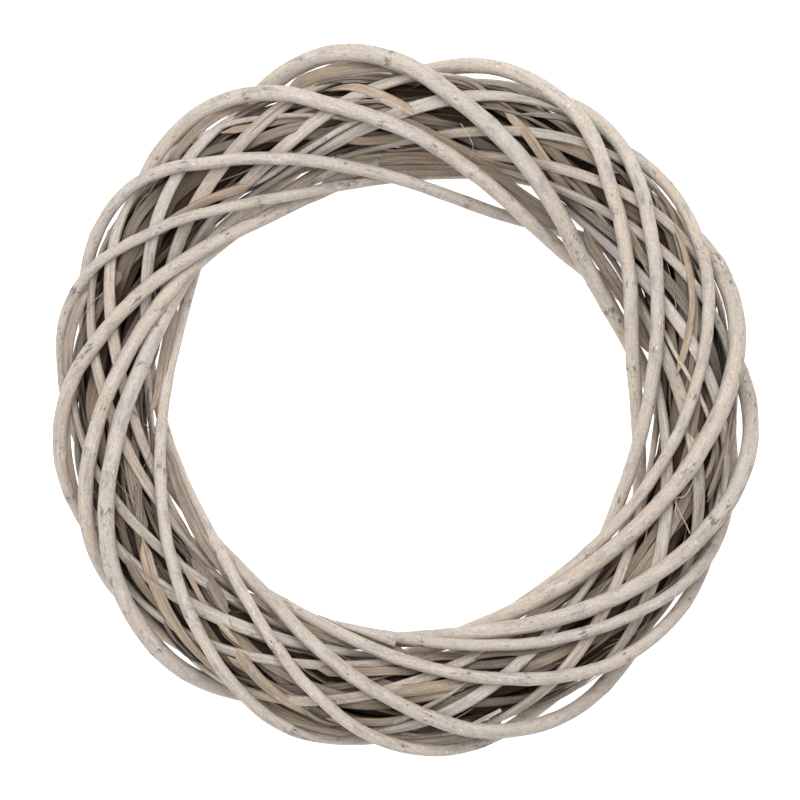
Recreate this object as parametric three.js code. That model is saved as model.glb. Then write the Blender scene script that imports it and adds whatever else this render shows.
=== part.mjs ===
// A wreath of greyed rattan canes, lying on its back. Millimetres, +Z up, +Y towards the wreath's top.
//
// Four core hoops lie side by side in a twisted bundle, with nine split ring canes along them. Under
// canes and then cross canes, split as well, are wound over the bundle in opposite senses. Seven whole
// canes are wound round the outside, cut one after another from a single winding that goes round the
// ring's section 17 times while it travels 8 times round the ring. Each cane is a solid of its own, and
// rests on the layer below it.
//
// A place on the ring is given by its azimuth, its lay and its height. The azimuth goes round the
// wreath from +X towards +Y. The lay goes round the ring's own section, counted in turns: 0 at the
// outer rim, 0.25 at the crown, 0.5 at the hole and 0.75 at the back. The height is the distance from
// the middle of the section.

import * as THREE from "three";

const RING_RADIUS = 144; // from the wreath's axis to the middle of the ring's section
const TURN = 2 * Math.PI;

// The wreath is a little out of round: at this azimuth, and for some degrees to each side of it, the
// ring stands further out.
const BULGE = { azimuth: 142, reach: 5, spread: 20 };

// Core hoops: whole canes side by side, which twist together once on the way round the ring.
const CORE = { hoops: 4, radius: 3.85, pitch: 6.3, endGap: 2.4, startStep: 100, sides: 6, steps: 40 };

// Ring canes: split canes laid along the core hoops, which twist once the other way round.
const RING_CANES = {
  widths: [6, 5.2, 5.6, 4.6, 6.2, 5, 5.8, 4.8, 5.4],
  endGap: 2.4,
  startStep: 137.5,
  gap: 0.8,
  thickness: 2.45,
  steps: 40,
};

// Under canes: split canes wound the same way as the outer winding.
const UNDER = {
  canes: [
    { wraps: 3, width: 6.4 },
    { wraps: 3, width: 5 },
    { wraps: 3, width: 5.8 },
    { wraps: 4, width: 5.4 },
  ],
  crowns: [17, 40, 60, 92, 115, 148, 176, 206, 224, 241, 275, 303, 334],
  stride: -5,
  ease: 0.18,
  gap: 1.15,
  thickness: 2.4,
  steps: 24,
};

// Cross canes: split canes wound against the outer winding, right under it.
const CROSS = {
  canes: [
    { wraps: 3, width: 6.2 },
    { wraps: 2, width: 5.2 },
    { wraps: 2, width: 7 },
    { wraps: 3, width: 5.6 },
    { wraps: 2, width: 6.6 },
    { wraps: 2, width: 4.8 },
    { wraps: 2, width: 6 },
    { wraps: 2, width: 6.8 },
  ],
  crowns: [11.6, 34, 49.5, 68, 89, 108, 127, 145, 168, 181, 204, 222, 239, 262, 287.6, 310, 331, 351],
  stride: 7,
  ease: 0.22,
  gap: 0.75,
  thickness: 2.8,
  steps: 24,
};

const SPLIT = {
  outerWidth: 0.7, // the rounded side's width, as a share of the flat side's
  firstLay: 0.76, // under and cross canes start and end at the back of the ring
  endGap: 0.012, // in turns of the lay, between one cane's end and the next one's start
};

// The outer winding, one row for each wrap in the order of its place round the rim: the azimuths at
// which it stands at the rim, over the crown and in the hole, the degrees of azimuth by which it is off
// an even course early, halfway to the crown, and late, halfway from the crown to the hole, and how far
// its outside reaches from the wreath's axis at the rim and at the hole.
const WRAPS = [
  { rim: 355.4, early: -1.9, crown: 322, late: 0.1, hole: 275.5, rimReach: 175.8, holeReach: 111.9 },
  { rim: 19.8, early: 0.1, crown: 349.2, late: 3.6, hole: 295.8, rimReach: 173.8, holeReach: 111.6 },
  { rim: 39.8, early: -2.4, crown: 4.9, late: -2.1, hole: 307, rimReach: 169.8, holeReach: 110.8 },
  { rim: 58.5, early: 1.5, crown: 32.5, late: 7, hole: 342.2, rimReach: 172.8, holeReach: 112.8 },
  { rim: 73.5, early: -3.2, crown: 44.9, late: 5.6, hole: 5.9, rimReach: 175.8, holeReach: 110.8 },
  { rim: 103.5, early: -0.8, crown: 74.7, late: 6.7, hole: 31.5, rimReach: 180.7, holeReach: 107.5 },
  { rim: 127.3, early: -1.6, crown: 99, late: 4.8, hole: 49.1, rimReach: 179.2, holeReach: 104.5 },
  { rim: 148.5, early: 3.2, crown: 125.8, late: 14.3, hole: 71.2, rimReach: 176.7, holeReach: 100.8 },
  { rim: 166.6, early: 2.8, crown: 145.6, late: 20.2, hole: 100, rimReach: 175.3, holeReach: 108.6 },
  { rim: 190.7, early: -1, crown: 162.6, late: 11.5, hole: 115.9, rimReach: 174.8, holeReach: 109 },
  { rim: 209.0, early: 0.4, crown: 177.7, late: 2.8, hole: 128, rimReach: 171.8, holeReach: 114.5 },
  { rim: 227.3, early: -5.3, crown: 189.5, late: -4, hole: 138.7, rimReach: 175.3, holeReach: 119.5 },
  { rim: 253.5, early: 1.1, crown: 222, late: 5.6, hole: 168.3, rimReach: 172.8, holeReach: 113.8 },
  { rim: 279.4, early: -2, crown: 250.1, late: 11.9, hole: 208.3, rimReach: 174.8, holeReach: 111.5 },
  { rim: 299.0, early: -3.1, crown: 267.3, late: 6.7, hole: 226.1, rimReach: 176.2, holeReach: 111.3 },
  { rim: 325.4, early: -3.5, crown: 291.3, late: 2.7, hole: 242.6, rimReach: 172.8, holeReach: 112 },
  { rim: 337.9, early: 1.9, crown: 310.2, late: 8, hole: 260.8, rimReach: 171.3, holeReach: 111.3 },
];

// The seven outer canes in the order in which the winding uses them: how many wraps each makes, and
// its radius where it starts and where it ends. At the back, each cane's start lies beside the end of
// the one before it.
const OUTER = {
  canes: [
    { wraps: 2, from: 4.3, to: 3.3 },
    { wraps: 3, from: 4.6, to: 2.6 },
    { wraps: 3, from: 4.3, to: 2.6 },
    { wraps: 2, from: 4.0, to: 2.5 },
    { wraps: 2, from: 4.8, to: 3.0 },
    { wraps: 2, from: 4.1, to: 2.8 },
    { wraps: 3, from: 3.2, to: 2.6 },
  ],
  stride: -8,
  ease: 0.38,
  gap: 0.75,
  firstLay: -0.225,
  lastLay: 0.86,
  lapBlend: 0.12, // in turns of the lay, the length over which a cane comes back into line
  lapGap: 0.2, // from each of the two canes to the line between them
  sides: 8,
  steps: 24,
};

// The wreath rests on the thickest canes at its back. Thin canes sag up to this far off the layer
// below them to meet the same plane, and all of them are pressed flat at it. The outer winding swings
// on by this many degrees of azimuth at the back, so it comes up to the rim at a slant.
const BACK = { depth: 30.1, sag: 2.6, flattened: 0.55, swing: 10 };

const BARK = new THREE.MeshStandardMaterial({ color: 0xb3a698, roughness: 0.75 });
const SPLIT_WOOD = new THREE.MeshStandardMaterial({ color: 0xa8977f, roughness: 0.85 });
const CORE_WOOD = new THREE.MeshStandardMaterial({ color: 0x847361, roughness: 0.9 });

const wrapped = (value, size) => ((value % size) + size) % size;

// The radius of the polygon that has a circle's area, as a share of the circle's.
function polygonGrowth(sides) {
  return Math.sqrt(TURN / sides / Math.sin(TURN / sides));
}

function smooth(value) {
  const share = THREE.MathUtils.clamp(value, 0, 1);
  return share * share * (3 - 2 * share);
}

// A curve through four neighbouring values, between the middle two.
function between(before, start, end, after, share) {
  const slope = (end - before) / 2;
  const nextSlope = (after - start) / 2;
  const rise = end - start;
  const bend = 3 * rise - 2 * slope - nextSlope;
  const twist = slope + nextSlope - 2 * rise;
  return start + share * (slope + share * (bend + share * twist));
}

// A winding passes the marks, which are azimuths in degrees in the order of their place round the
// ring, one after another with the given stride, each time at the lay markLay. A negative stride
// travels back round the ring. The ease is how much slower it travels at the rim than at the hole.
function makeWinding({ marks, stride, markLay, ease }) {
  const sense = Math.sign(stride);
  const meanTravel = (360 * Math.abs(stride)) / marks.length;
  const markOf = (wrap) => marks[wrapped(wrap * stride, marks.length)];
  const travelled = new Map([[0, markOf(0)]]);
  for (let wrap = 0; wrap <= marks.length + 1; wrap += 1) {
    const forward = wrapped(sense * (markOf(wrap + 1) - markOf(wrap)), 360);
    travelled.set(wrap + 1, travelled.get(wrap) + sense * forward);
  }
  for (let wrap = 0; wrap >= -2; wrap -= 1) {
    const backward = wrapped(sense * (markOf(wrap) - markOf(wrap - 1)), 360);
    travelled.set(wrap - 1, travelled.get(wrap) - sense * backward);
  }
  return (lay) => {
    const wrap = Math.floor(lay - markLay);
    const near = [-1, 0, 1, 2].map((step) => travelled.get(wrap + step));
    const even = between(...near, lay - markLay - wrap);
    const eased = Math.sin(TURN * lay) - Math.sin(TURN * markLay);
    return even - (sense * ease * meanTravel * eased) / TURN;
  };
}

function ringRadius(azimuth) {
  const apart = wrapped(azimuth - BULGE.azimuth + 180, 360) - 180;
  return RING_RADIUS + BULGE.reach * Math.exp(-((apart / BULGE.spread) ** 2));
}

function onRing(azimuth, lay, height) {
  const angle = THREE.MathUtils.degToRad(azimuth);
  const reach = ringRadius(azimuth) + height * Math.cos(TURN * lay);
  const rise = height * Math.sin(TURN * lay);
  return new THREE.Vector3(reach * Math.cos(angle), reach * Math.sin(angle), rise);
}

// A cane's line. Its place is a function of the lay or azimuth that gives { azimuth, lay, height }, and
// on a cane that tapers or is set aside along its layer { size, aside } as well. The cane's section is
// carried along it with its first axis always pointing out of the ring's section.
class CaneLine extends THREE.Curve {
  constructor({ from, to, place }) {
    super();
    this.from = from;
    this.to = to;
    this.place = place;
    this.arcLengthDivisions = 1000;
  }

  frameAt(share) {
    const at = THREE.MathUtils.lerp(this.from, this.to, share);
    const middleAt = (near) => {
      const { azimuth, lay, height } = this.place(near);
      return onRing(azimuth, lay, height);
    };
    const nudge = (this.to - this.from) * 1e-4;
    const along = middleAt(at + nudge).sub(middleAt(at - nudge)).normalize();
    const { azimuth, lay, height, size = 1, aside = 0 } = this.place(at);
    const centre = onRing(azimuth, lay, height);
    const out = onRing(azimuth, lay, height + 1).sub(centre);
    out.addScaledVector(along, -out.dot(along)).normalize();
    const across = new THREE.Vector3().crossVectors(along, out);
    return { centre: centre.addScaledVector(across, aside), along, out, across, size };
  }

  getPoint(share) {
    return this.frameAt(share).centre;
  }

  computeFrenetFrames(steps) {
    const tangents = [];
    const normals = [];
    const binormals = [];
    for (let step = 0; step <= steps; step += 1) {
      const { along, out, across, size } = this.frameAt(this.getUtoTmapping(step / steps));
      tangents.push(along);
      normals.push(out.multiplyScalar(size));
      binormals.push(across.multiplyScalar(size));
    }
    return { tangents, normals, binormals };
  }
}

// A round cane's section: a polygon of radius 1 that lies with one side outwards.
function roundSection(sides) {
  const corners = [];
  for (let corner = 0; corner < sides; corner += 1) {
    const angle = (TURN * (corner + 0.5)) / sides;
    corners.push(new THREE.Vector2(Math.cos(angle), Math.sin(angle)));
  }
  return new THREE.Shape(corners);
}

// A split cane's section: its flat inner side, and its rounded outer side as one narrower side.
function barSection(width, thickness, outerWidth) {
  const corners = [
    new THREE.Vector2(-thickness / 2, -width / 2),
    new THREE.Vector2(thickness / 2, (-width * outerWidth) / 2),
    new THREE.Vector2(thickness / 2, (width * outerWidth) / 2),
    new THREE.Vector2(-thickness / 2, width / 2),
  ];
  return new THREE.Shape(corners);
}

const ring = new THREE.Group();

function addCane(name, section, line, steps, material) {
  const geometry = new THREE.ExtrudeGeometry(section, { steps, extrudePath: new CaneLine(line) });
  const mesh = new THREE.Mesh(geometry, material);
  mesh.name = name;
  ring.add(mesh);
}

// Core hoops.
for (let hoop = 0; hoop < CORE.hoops; hoop += 1) {
  const start = hoop * CORE.startStep;
  const place = (azimuth) => ({
    azimuth,
    lay: hoop / CORE.hoops + azimuth / 360,
    height: CORE.pitch,
    size: CORE.radius * polygonGrowth(CORE.sides),
  });
  const line = { from: start + CORE.endGap / 2, to: start + 360 - CORE.endGap / 2, place };
  addCane(`core_hoop_${hoop + 1}`, roundSection(CORE.sides), line, CORE.steps, CORE_WOOD);
}
const coreTop = CORE.pitch + CORE.radius;

// Ring canes.
const splitSection = ({ width, thickness }) => barSection(width, thickness, SPLIT.outerWidth);
RING_CANES.widths.forEach((width, index) => {
  const { widths, thickness, gap, endGap, startStep, steps } = RING_CANES;
  const start = index * startStep;
  const place = (azimuth) => ({
    azimuth,
    lay: index / widths.length - azimuth / 360,
    height: coreTop + gap + thickness / 2,
  });
  const line = { from: start + endGap / 2, to: start + 360 - endGap / 2, place };
  addCane(`ring_cane_${index + 1}`, splitSection({ width, thickness }), line, steps, SPLIT_WOOD);
});
const ringTop = coreTop + RING_CANES.gap + RING_CANES.thickness;

// Under and cross canes.
function windSplitCanes(name, layer, onto) {
  const { thickness, gap, steps } = layer;
  const layerWinding = makeWinding({ marks: layer.crowns, markLay: 0.25, ...layer });
  const height = onto + gap + thickness / 2;
  const place = (lay) => ({ azimuth: layerWinding(lay), lay, height });
  let firstWrap = 0;
  layer.canes.forEach(({ wraps, width }, index) => {
    const from = firstWrap + SPLIT.firstLay - 1;
    const line = { from, to: from + wraps - SPLIT.endGap, place };
    const section = splitSection({ width, thickness });
    addCane(`${name}_${index + 1}`, section, line, wraps * steps, SPLIT_WOOD);
    firstWrap += wraps;
  });
  return onto + gap + thickness;
}

const underTop = windSplitCanes("under_cane", UNDER, ringTop);
const crossTop = windSplitCanes("cross_cane", CROSS, underTop);

// Outer canes. The winding evens out the wraps' travel between one place at the rim and the next, and
// each wrap is drawn off that course by the amounts that its row gives for the eighths of a turn.
const winding = makeWinding({ marks: WRAPS.map(({ rim }) => rim), markLay: 0, ...OUTER });
const wrapAt = (wrap) => WRAPS[wrapped(wrap * OUTER.stride, WRAPS.length)];

function outerAzimuth(lay) {
  const wrap = Math.floor(lay);
  const { early, crown, late, hole } = wrapAt(wrap);
  const offCourse = (azimuth, at) => wrapped(azimuth - winding(wrap + at) + 180, 360) - 180;
  const atCrown = offCourse(crown, 0.25);
  const atHole = offCourse(hole, 0.5);
  const next = wrapAt(wrap + 1).early;
  const drawn = [0, 0, early, atCrown, late, atHole, atHole / 2, 0, 0, 0, next];
  const eighth = Math.floor((lay - wrap) * 8);
  const drawnOff = between(...drawn.slice(eighth, eighth + 4), (lay - wrap) * 8 - eighth);
  const swing = BACK.swing * Math.max(0, -Math.sin(TURN * lay)) ** 2;
  return winding(lay) + drawnOff + swing;
}

function outerHeight(lay, radius) {
  const resting = crossTop + OUTER.gap + radius;
  const towardsRim = Math.cos(TURN * lay);
  const towardsBack = Math.max(0, -Math.sin(TURN * lay));
  const toRing = ringRadius(outerAzimuth(lay));
  const rimHeight = wrapAt(Math.round(lay)).rimReach - radius - toRing;
  const holeHeight = toRing - wrapAt(Math.floor(lay)).holeReach - radius;
  const proud = (towardsRim > 0 ? rimHeight : holeHeight) - resting;
  const toFlat = radius * polygonGrowth(OUTER.sides) * Math.cos(Math.PI / OUTER.sides);
  const sag = THREE.MathUtils.clamp(BACK.depth - toFlat - resting, 0, BACK.sag);
  return resting + Math.max(0, proud) * towardsRim ** 2 + sag * towardsBack ** 4;
}

let firstWrap = 0;
OUTER.canes.forEach(({ wraps, from: fromRadius, to: toRadius }, index) => {
  const from = firstWrap + OUTER.firstLay;
  const to = firstWrap + wraps - 1 + OUTER.lastLay;
  const growth = polygonGrowth(OUTER.sides);
  const lap = OUTER.lastLay - OUTER.firstLay - 1;
  const lapped = (fromEnd) => smooth(1 - (fromEnd - lap) / OUTER.lapBlend);
  const place = (lay) => {
    const radius = THREE.MathUtils.mapLinear(lay, from, to, fromRadius, toRadius);
    return {
      azimuth: outerAzimuth(lay),
      lay,
      height: outerHeight(lay, radius),
      size: radius * growth,
      aside: (radius * growth + OUTER.lapGap) * (lapped(to - lay) - lapped(lay - from)),
    };
  };
  const steps = Math.round((to - from) * OUTER.steps);
  addCane(`outer_cane_${index + 1}`, roundSection(OUTER.sides), { from, to, place }, steps, BARK);
  firstWrap += wraps;
});

// The canes that reach the surface are pressed flat at it.
const floor = BACK.flattened - BACK.depth;
ring.traverse((mesh) => {
  if (!mesh.isMesh) return;
  const position = mesh.geometry.getAttribute("position");
  for (let i = 0; i < position.count; i += 1) position.setZ(i, Math.max(floor, position.getZ(i)));
  mesh.geometry.computeVertexNormals();
});

// The origin is under the middle of the wreath, on the surface that it lies on.
const extent = new THREE.Box3().setFromObject(ring);
const middle = extent.getCenter(new THREE.Vector3());
ring.position.set(-middle.x, -middle.y, -extent.min.z);

const wreath = new THREE.Group();
wreath.add(ring);

export default wreath;
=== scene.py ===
import math
import random

import bpy
import numpy as np
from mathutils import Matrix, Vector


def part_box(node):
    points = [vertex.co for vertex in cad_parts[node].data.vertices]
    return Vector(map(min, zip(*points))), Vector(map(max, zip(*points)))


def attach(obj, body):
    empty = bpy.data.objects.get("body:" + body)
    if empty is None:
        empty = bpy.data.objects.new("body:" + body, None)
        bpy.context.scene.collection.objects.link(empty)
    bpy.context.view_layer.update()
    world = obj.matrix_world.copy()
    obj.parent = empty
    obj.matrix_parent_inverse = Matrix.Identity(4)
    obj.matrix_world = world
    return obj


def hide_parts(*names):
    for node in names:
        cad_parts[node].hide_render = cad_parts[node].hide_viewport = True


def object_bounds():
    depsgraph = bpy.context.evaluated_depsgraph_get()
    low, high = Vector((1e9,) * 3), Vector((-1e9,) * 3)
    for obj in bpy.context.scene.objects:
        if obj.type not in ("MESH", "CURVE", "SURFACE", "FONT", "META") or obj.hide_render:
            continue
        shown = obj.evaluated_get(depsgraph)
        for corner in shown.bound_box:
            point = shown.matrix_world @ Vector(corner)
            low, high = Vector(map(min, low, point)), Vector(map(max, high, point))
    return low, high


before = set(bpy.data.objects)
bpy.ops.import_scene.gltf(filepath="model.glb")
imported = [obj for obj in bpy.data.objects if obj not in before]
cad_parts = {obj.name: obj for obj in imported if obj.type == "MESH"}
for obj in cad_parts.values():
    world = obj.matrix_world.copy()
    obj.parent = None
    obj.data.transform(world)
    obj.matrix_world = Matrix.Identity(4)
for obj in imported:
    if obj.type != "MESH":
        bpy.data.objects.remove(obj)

cad_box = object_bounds()

# Core hoops: four whole rattan canes, bent round and laid side by side in the middle of the ring, where
# they twist together once. They are coloured near black, a painted shade for the deep middle of the ring,
# and all the others are wound on them.
# Sizes here are in metres, and angles in degrees.
MM = 0.001
TURN = 2 * math.pi
RING_RADIUS = 144 * MM
BULGE_AZIMUTH = 142
BULGE_REACH = 5 * MM
BULGE_SPREAD = 20
HOOPS = 4
CORE_RADIUS = 3.85 * MM
CORE_PITCH = 6.3 * MM
CORE_END_GAP = 2.4
CORE_START_STEP = 100
CORE_POINTS = 240
# Painted shade: a cane whose middle lies lower than this height from the section's middle is coloured
# darker, fully so this far below it.
DEPTH_SHADE_BELOW = 19.7 * MM
DEPTH_SHADE_SPAN = 6 * MM


def ring_radius(azimuth):
    """The ring is a little out of round: it stands further out round one azimuth."""
    apart = (azimuth - BULGE_AZIMUTH + 180) % 360 - 180
    return RING_RADIUS + BULGE_REACH * np.exp(-((apart / BULGE_SPREAD) ** 2))


def on_ring(azimuth, lay, height):
    """The points at these places on the ring, one row each. The azimuth goes round the wreath from +X
    towards +Y. The lay goes round the ring's own section, in turns, with 0 at the rim, 0.25 at the
    crown, 0.5 at the hole and 0.75 at the back. The height is that from the middle of the section."""
    angle = np.radians(azimuth)
    reach = ring_radius(azimuth) + height * np.cos(TURN * lay)
    rise = height * np.sin(TURN * lay)
    return ring_middle + np.stack([reach * np.cos(angle), reach * np.sin(angle), rise], axis=-1)


def box_middle(points):
    return (np.min(points, axis=0) + np.max(points, axis=0)) / 2


# The ring's middle is where the hoops' own lines, once moved there, lie in the middle of their boxes.
hoop_boxes = [corner for hoop in range(HOOPS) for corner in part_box(f"core_hoop_{hoop + 1}")]
ring_middle = np.zeros(3)
around = np.arange(0, 360, 0.5)
hoop_lines = [on_ring(around, hoop / HOOPS + around / 360, CORE_PITCH) for hoop in range(HOOPS)]
ring_middle = box_middle(hoop_boxes) - box_middle(np.concatenate(hoop_lines))


def smooth(share):
    share = np.clip(share, 0, 1)
    return share * share * (3 - 2 * share)


def unit(vectors):
    return vectors / np.linalg.norm(vectors, axis=-1, keepdims=True)


def route(azimuth, lay, height, half_width, half_depth, aside=0.0, roll=0.0):
    """A cane's line on the ring as a row of points, with the way out of the ring's section and the way
    across the cane at each. The cane may be set aside along its layer and rolled about its own line."""
    count = len(lay)
    middle = on_ring(azimuth, lay, height)
    along = unit(np.gradient(middle, axis=0))
    out = on_ring(azimuth, lay, height + MM) - middle
    out = unit(out - along * np.sum(out * along, axis=1, keepdims=True))
    across = np.cross(along, out)
    middle = middle + across * (np.zeros(count) + aside)[:, None]
    lean = (np.zeros(count) + roll)[:, None]
    steps = np.linalg.norm(np.diff(middle, axis=0), axis=1)
    return {
        "middle": middle,
        "out": out * np.cos(lean) + across * np.sin(lean),
        "across": across * np.cos(lean) - out * np.sin(lean),
        "half_width": np.zeros(count) + half_width,
        "half_depth": np.zeros(count) + half_depth,
        "run": np.concatenate([[0], np.cumsum(steps)]),
        "scar": np.zeros(count),
        # Painted shade: from 0 where the cane lies high to 1 where it lies deep in the ring.
        "painted_depth_shade": smooth((DEPTH_SHADE_BELOW - height) / DEPTH_SHADE_SPAN) + np.zeros(count),
    }


class Wire:
    """A socket in a node tree. A sum on it adds the Math nodes for that sum, and node() adds any other
    node, whose type comes first, then its settings and then the values or wires of its sockets."""

    def __init__(self, tree, socket=None):
        self.tree = tree
        self.socket = socket

    def node(self, kind, settings=None, sockets=None, out=0):
        made = self.tree.nodes.new(kind)
        for name, value in (settings or {}).items():
            setattr(made, name, value)
        for name, value in (sockets or {}).items():
            if isinstance(value, Wire):
                self.tree.links.new(value.socket, made.inputs[name])
            else:
                made.inputs[name].default_value = value
        return Wire(self.tree, made.outputs[out])

    def maths(self, operation, *values):
        return self.node("ShaderNodeMath", {"operation": operation}, dict(enumerate(values)))

    def __add__(self, other):
        return self.maths("ADD", self, other)

    def __radd__(self, other):
        return self.maths("ADD", other, self)

    def __sub__(self, other):
        return self.maths("SUBTRACT", self, other)

    def __rsub__(self, other):
        return self.maths("SUBTRACT", other, self)

    def __mul__(self, other):
        return self.maths("MULTIPLY", self, other)

    def __rmul__(self, other):
        return self.maths("MULTIPLY", other, self)


def vector_maths(operation, first, second):
    return first.node("ShaderNodeVectorMath", {"operation": operation}, {0: first, 1: second})


def scaled(vector, length):
    return vector.node("ShaderNodeVectorMath", {"operation": "SCALE"}, {"Vector": vector, "Scale": length})


def noise(grain, scale, detail, rough=0.5):
    """Noise with so many features to the metre across, out of and along the cane."""
    vector = vector_maths("MULTIPLY", grain, scale)
    sockets = {"Vector": vector, "Scale": 1.0, "Detail": detail, "Roughness": rough}
    return grain.node("ShaderNodeTexNoise", {}, sockets)


# Wrinkles and swellings to the metre across, out of and along a cane, and how far the cane's number moves
# its pattern, in metres.
WRINKLES = (700, 700, 30)
SWELLINGS = (90, 90, 50)
PATTERN_SHIFT = 0.05


def cane_sweep():
    """The node tree that turns a row of points into a cane: a section carried along the row and squared
    off as asked, with lengthwise wrinkles and slow swellings."""
    tree = bpy.data.node_groups.new("cane_sweep", "GeometryNodeTree")
    tree.interface.new_socket("Routes", in_out="INPUT", socket_type="NodeSocketGeometry")
    for name, kind in (
        ("Sides", "NodeSocketInt"),
        ("Squareness", "NodeSocketFloat"),
        ("Wrinkle", "NodeSocketFloat"),
        ("Swelling", "NodeSocketFloat"),
        ("Lowest corner", "NodeSocketVector"),
        ("Highest corner", "NodeSocketVector"),
        ("Finish", "NodeSocketMaterial"),
    ):
        tree.interface.new_socket(name, in_out="INPUT", socket_type=kind)
    tree.interface.new_socket("Canes", in_out="OUTPUT", socket_type="NodeSocketGeometry")
    given = {socket.name: Wire(tree, socket) for socket in tree.nodes.new("NodeGroupInput").outputs}
    start = Wire(tree)

    def kept(name, kind="FLOAT"):
        return start.node("GeometryNodeInputNamedAttribute", {"data_type": kind}, {"Name": name})

    def keep(geometry, name, value, kind="FLOAT"):
        return start.node(
            "GeometryNodeStoreNamedAttribute",
            {"data_type": kind, "domain": "POINT"},
            {"Geometry": geometry, "Name": name, "Value": value},
        )

    rows = start.node("GeometryNodeMeshToCurve", {}, {"Mesh": given["Routes"]})
    rows = keep(rows, "middle", start.node("GeometryNodeInputPosition"), "FLOAT_VECTOR")
    loop = start.node("GeometryNodeCurvePrimitiveCircle", {}, {"Resolution": given["Sides"], "Radius": MM})
    corner = start.node("GeometryNodeInputIndex") * TURN
    loop = keep(loop, "corner", start.maths("DIVIDE", corner, given["Sides"]))
    swept = start.node(
        "GeometryNodeCurveToMesh", {}, {"Curve": rows, "Profile Curve": loop, "Fill Caps": True}
    )

    def squared(wave):
        flattened = wave.maths("POWER", wave.maths("ABSOLUTE", wave), given["Squareness"])
        return wave.maths("SIGN", wave) * flattened

    outward = squared(start.maths("COSINE", kept("corner")))
    sideways = squared(start.maths("SINE", kept("corner")))
    to_side = sideways * kept("half_width")
    to_front = outward * kept("half_depth")

    # The pattern's place on the cane, in metres, is kept for the finish, and so is how near the cane's
    # edges a point lies, from 0 to 1. Each cane's number moves its pattern.
    place_out = to_front + kept("number") * PATTERN_SHIFT
    grain = start.node("ShaderNodeCombineXYZ", {}, {0: to_side, 1: place_out, 2: kept("run")})
    swept = keep(swept, "grain", grain, "FLOAT_VECTOR")
    swept = keep(swept, "edge", sideways.maths("ABSOLUTE", sideways))
    grain = kept("grain", "FLOAT_VECTOR")
    wrinkles = noise(grain, WRINKLES, 2.0)
    swellings = noise(grain, SWELLINGS, 1.0)
    lift = (wrinkles - 0.5) * given["Wrinkle"] + (swellings - 0.5) * given["Swelling"]
    out = kept("out", "FLOAT_VECTOR")
    across = kept("across", "FLOAT_VECTOR")
    place = vector_maths("ADD", kept("middle", "FLOAT_VECTOR"), scaled(out, to_front + lift * outward))
    place = vector_maths("ADD", place, scaled(across, to_side + lift * sideways))
    place = vector_maths("MAXIMUM", place, given["Lowest corner"])
    place = vector_maths("MINIMUM", place, given["Highest corner"])
    swept = start.node("GeometryNodeSetPosition", {}, {"Geometry": swept, "Position": place})
    swept = start.node("GeometryNodeRealizeInstances", {}, {"Geometry": swept})
    swept = start.node("GeometryNodeSetMaterial", {}, {"Geometry": swept, "Material": given["Finish"]})
    tree.links.new(swept.socket, tree.nodes.new("NodeGroupOutput").inputs[0])
    return tree


SWEEP = cane_sweep()
INPUTS = {item.name: item.identifier for item in SWEEP.interface.items_tree if item.in_out == "INPUT"}
ROUTE_VALUES = ("half_width", "half_depth", "run", "scar", "painted_depth_shade")
CANE_VALUES = ("tint", "shade", "number")
FINISH_VALUES = ("grain", "edge", "scar", "painted_depth_shade", "tint", "shade")


def sweep_canes(name, routes, finish, sides, squareness, wrinkle, swelling):
    """One piece made of the canes along these routes. Each cane has its own number, tint and shade,
    which place its pattern and say how grey and how light it is."""
    mesh = bpy.data.meshes.new(name)
    starts = np.cumsum([0] + [len(line["run"]) for line in routes])
    points = np.concatenate([line["middle"] for line in routes])
    edges = [(k, k + 1) for first, last in zip(starts, starts[1:]) for k in range(first, last - 1)]
    mesh.from_pydata(points.tolist(), edges, [])
    for key in ("out", "across"):
        values = np.concatenate([line[key] for line in routes]).astype(np.float32)
        mesh.attributes.new(key, "FLOAT_VECTOR", "POINT").data.foreach_set("vector", values.ravel())
    for key in ROUTE_VALUES + CANE_VALUES:
        values = np.concatenate([np.zeros(len(line["run"])) + line[key] for line in routes])
        mesh.attributes.new(key, "FLOAT", "POINT").data.foreach_set("value", values.astype(np.float32))
    piece = bpy.data.objects.new(name, mesh)
    bpy.context.scene.collection.objects.link(piece)
    sweep = piece.modifiers.new("sweep", "NODES")
    sweep.node_group = SWEEP
    low, high = cad_box
    for key, value in (
        ("Sides", sides),
        ("Squareness", squareness),
        ("Wrinkle", wrinkle),
        ("Swelling", swelling),
        ("Lowest corner", tuple(low)),
        ("Highest corner", tuple(high)),
        ("Finish", finish),
    ):
        sweep[INPUTS[key]] = value
    depsgraph = bpy.context.evaluated_depsgraph_get()
    made = bpy.data.meshes.new_from_object(piece.evaluated_get(depsgraph), depsgraph=depsgraph)
    made.name = name
    piece.modifiers.clear()
    piece.data = made
    for key in ("middle", "out", "across", "corner") + ROUTE_VALUES + CANE_VALUES:
        if key in made.attributes and key not in FINISH_VALUES:
            made.attributes.remove(made.attributes[key])
    loops = np.zeros(len(made.polygons), np.int32)
    made.polygons.foreach_get("loop_total", loops)
    made.polygons.foreach_set("use_smooth", loops == 4)
    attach(piece, "root")
    return piece


def ramp(value, low, high):
    return value.node("ShaderNodeMapRange", {}, {"Value": value, "From Min": low, "From Max": high})


def mixed(share, first, second):
    settings = {"data_type": "RGBA", "clamp_factor": True}
    return share.node("ShaderNodeMix", settings, {0: share, 6: first, 7: second}, 2)


WASH_COLOUR = (0.66, 0.64, 0.625, 1)
SMUDGE_COLOUR = (0.37, 0.345, 0.33, 1)
CHIP_COLOUR = (0.80, 0.78, 0.75, 1)
# What the painted shade deep in the ring multiplies a cane's colour by.
DEPTH_SHADE_TINT = (0.14, 0.1, 0.07)


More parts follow.
